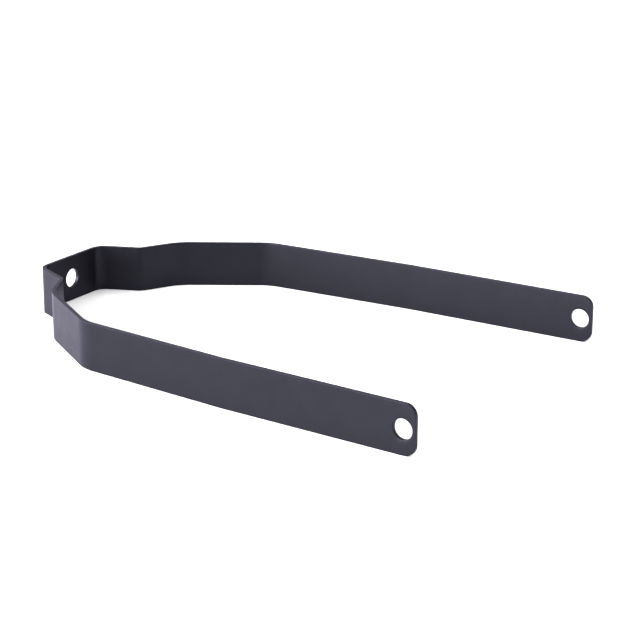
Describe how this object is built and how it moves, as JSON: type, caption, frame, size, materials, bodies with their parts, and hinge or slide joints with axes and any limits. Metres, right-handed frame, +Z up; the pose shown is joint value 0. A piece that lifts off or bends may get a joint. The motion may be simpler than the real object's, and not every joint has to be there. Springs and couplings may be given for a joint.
{
  "type": "rear fender stay",
  "caption": "Rear fender stay: a strip of coated flat steel bent into a wide fork, with a bolt hole in its saddle and in each rounded free end.",
  "frame": {"origin": "middle of the footprint, at the height of the lower long edge that the strip stands on", "axes": "+X from the saddle towards the two free ends, +Y across the fork towards the left tip, +Z up, along the strip's width"},
  "size_m": [0.1851, 0.1268, 0.017],
  "materials": {
    "coating": "dark charcoal satin powder coating on steel"
  },
  "bodies": {
    "root": {"fender_stay": "coating"}
  },
  "joints": []
}
